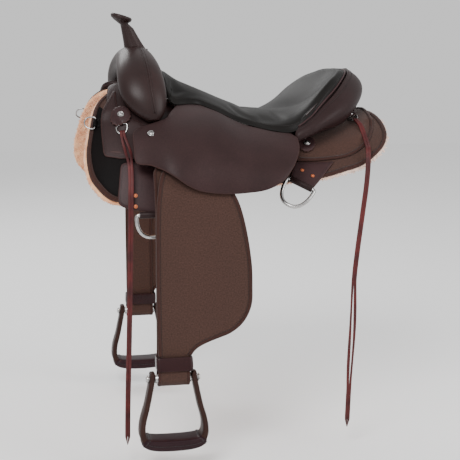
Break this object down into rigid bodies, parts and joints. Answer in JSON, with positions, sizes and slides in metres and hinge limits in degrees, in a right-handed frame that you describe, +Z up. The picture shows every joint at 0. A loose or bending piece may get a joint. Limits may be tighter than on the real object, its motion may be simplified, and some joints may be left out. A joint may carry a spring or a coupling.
{
  "type": "gaited trail saddle",
  "caption": "Western trail saddle for a gaited horse: padded seat, horn and swell, fenders with swinging stirrups, rigging rings, fleece lined skirts and long saddle strings.",
  "frame": {"origin": "the ridge of the horse's back under the saddle, half way along the skirts, where the lining rests", "axes": "+Z up, +X to the horse's tail (cantle), horn towards -X, the near (left) side of the horse at -Y"},
  "size_m": [0.668, 0.658, 0.9073],
  "materials": {
    "tree_wood": "matte",
    "horn_iron": "matte",
    "ground_seat_leather": "matte",
    "horn_leather": "satin",
    "swell_leather": "satin",
    "seat_leather": "satin",
    "cantle_leather": "satin",
    "jockey_leather": "satin",
    "front_jockey_leather": "satin",
    "rear_jockey_cordura": "matte",
    "skirt_cordura": "matte",
    "fender_cordura": "matte",
    "fleece": "matte",
    "rigging_leather": "satin",
    "rosette_leather": "satin",
    "strap_leather": "satin",
    "stirrup_leather": "satin",
    "tread_leather": "satin",
    "latigo": "satin",
    "nickel": "polished",
    "steel": "satin"
  },
  "bodies": {
    "saddle": {"tree_fork": "tree_wood", "tree_cantle": "tree_wood", "ground_seat": "ground_seat_leather", "horn_core": "horn_iron", "horn_cover": "horn_leather", "swell_cover": "swell_leather", "seat": "seat_leather", "cantle_cover": "cantle_leather", "tree_bar_near": "tree_wood", "skirt_near": "skirt_cordura", "fleece_near": "fleece", "seat_jockey_near": "jockey_leather", "front_jockey_near": "front_jockey_leather", "rear_jockey_near": "rear_jockey_cordura", "front_rosette_near": "rosette_leather", "rear_rosette_near": "rosette_leather", "breast_tab_near": "rigging_leather", "front_rigging_near": "rigging_leather", "rear_rigging_near": "rigging_leather", "front_string_dee_near": "nickel", "rear_string_dee_near": "nickel", "tree_bar_far": "tree_wood", "skirt_far": "skirt_cordura", "fleece_far": "fleece", "seat_jockey_far": "jockey_leather", "front_jockey_far": "front_jockey_leather", "rear_jockey_far": "rear_jockey_cordura", "front_rosette_far": "rosette_leather", "rear_rosette_far": "rosette_leather", "breast_tab_far": "rigging_leather", "front_rigging_far": "rigging_leather", "rear_rigging_far": "rigging_leather", "front_string_dee_far": "nickel", "rear_string_dee_far": "nickel", "front_string_near": "latigo", "rear_string_near": "latigo"},
    "hanger_near": {"leather_hanger_near": "steel"},
    "flap_near": {"jockey_flap_near": "jockey_leather"},
    "fender_assembly_near": {"stirrup_leather_near": "strap_leather", "fender_near": "fender_cordura", "hobble_strap_near": "strap_leather"},
    "stirrup_near": {"stirrup_frame_near": "stirrup_leather", "tread_cover_near": "tread_leather", "stirrup_bolt_near": "steel"},
    "front_ring_body_near": {"front_ring_near": "nickel"},
    "rear_ring_body_near": {"rear_ring_near": "nickel"},
    "breast_dee_body_near": {"breast_dee_near": "nickel"},
    "hanger_far": {"leather_hanger_far": "steel"},
    "flap_far": {"jockey_flap_far": "jockey_leather"},
    "fender_assembly_far": {"stirrup_leather_far": "strap_leather", "fender_far": "fender_cordura", "hobble_strap_far": "strap_leather"},
    "stirrup_far": {"stirrup_frame_far": "stirrup_leather", "tread_cover_far": "tread_leather", "stirrup_bolt_far": "steel"},
    "front_ring_body_far": {"front_ring_far": "nickel"},
    "rear_ring_body_far": {"rear_ring_far": "nickel"},
    "breast_dee_body_far": {"breast_dee_far": "nickel"}
  },
  "joints": [
    {"name": "leather_lift_near", "type": "hinge", "parent": "saddle", "child": "hanger_near", "pos_m": [0, -0.194, 0.052], "axis": [-0.9984, 0, 0.0559], "range_deg": [0, 50]},
    {"name": "flap_lift_near", "type": "hinge", "parent": "saddle", "child": "flap_near", "pos_m": [0, -0.194, 0.052], "axis": [-0.9984, 0, 0.0559], "range_deg": [0, 50]},
    {"name": "leather_swing_near", "type": "hinge", "parent": "hanger_near", "child": "fender_assembly_near", "pos_m": [-0.17, -0.194, 0.03], "axis": [0, 1, 0], "range_deg": [-8, 6]},
    {"name": "stirrup_swing_near", "type": "hinge", "parent": "fender_assembly_near", "child": "stirrup_near", "pos_m": [-0.178, -0.3, -0.462], "axis": [-1, 0, 0], "range_deg": [-60, 60]},
    {"name": "front_ring_swing_near", "type": "hinge", "parent": "saddle", "child": "front_ring_body_near", "pos_m": [-0.2128, -0.26644, -0.12807], "axis": [-1, 0, 0], "range_deg": [-30, 20]},
    {"name": "rear_ring_swing_near", "type": "hinge", "parent": "saddle", "child": "rear_ring_body_near", "pos_m": [0.109, -0.22842, -0.07565], "axis": [-0.7956, 0.4581, 0.3964], "range_deg": [0, 80]},
    {"name": "breast_dee_swing_near", "type": "hinge", "parent": "saddle", "child": "breast_dee_body_near", "pos_m": [-0.31525, -0.13758, 0.04948], "axis": [0.1771, 0.6271, 0.7585], "range_deg": [0, 80]},
    {"name": "leather_lift_far", "type": "hinge", "parent": "saddle", "child": "hanger_far", "pos_m": [0, 0.194, 0.052], "axis": [0.9984, 0, -0.0559], "range_deg": [0, 50]},
    {"name": "flap_lift_far", "type": "hinge", "parent": "saddle", "child": "flap_far", "pos_m": [0, 0.194, 0.052], "axis": [0.9984, 0, -0.0559], "range_deg": [0, 50]},
    {"name": "leather_swing_far", "type": "hinge", "parent": "hanger_far", "child": "fender_assembly_far", "pos_m": [-0.17, 0.194, 0.03], "axis": [0, 1, 0], "range_deg": [-8, 6]},
    {"name": "stirrup_swing_far", "type": "hinge", "parent": "fender_assembly_far", "child": "stirrup_far", "pos_m": [-0.178, 0.3, -0.462], "axis": [1, 0, 0], "range_deg": [-60, 60]},
    {"name": "front_ring_swing_far", "type": "hinge", "parent": "saddle", "child": "front_ring_body_far", "pos_m": [-0.2128, 0.26644, -0.12807], "axis": [1, 0, 0], "range_deg": [-30, 20]},
    {"name": "rear_ring_swing_far", "type": "hinge", "parent": "saddle", "child": "rear_ring_body_far", "pos_m": [0.109, 0.22842, -0.07565], "axis": [0.7956, 0.4581, -0.3964], "range_deg": [0, 80]},
    {"name": "breast_dee_swing_far", "type": "hinge", "parent": "saddle", "child": "breast_dee_body_far", "pos_m": [-0.31525, 0.13758, 0.04948], "axis": [-0.1771, 0.6271, -0.7585], "range_deg": [0, 80]}
  ],
  "couplings": [
    {"joint": "flap_lift_near", "follows": "leather_lift_near", "ratio": 1},
    {"joint": "flap_lift_far", "follows": "leather_lift_far", "ratio": 1}
  ]
}
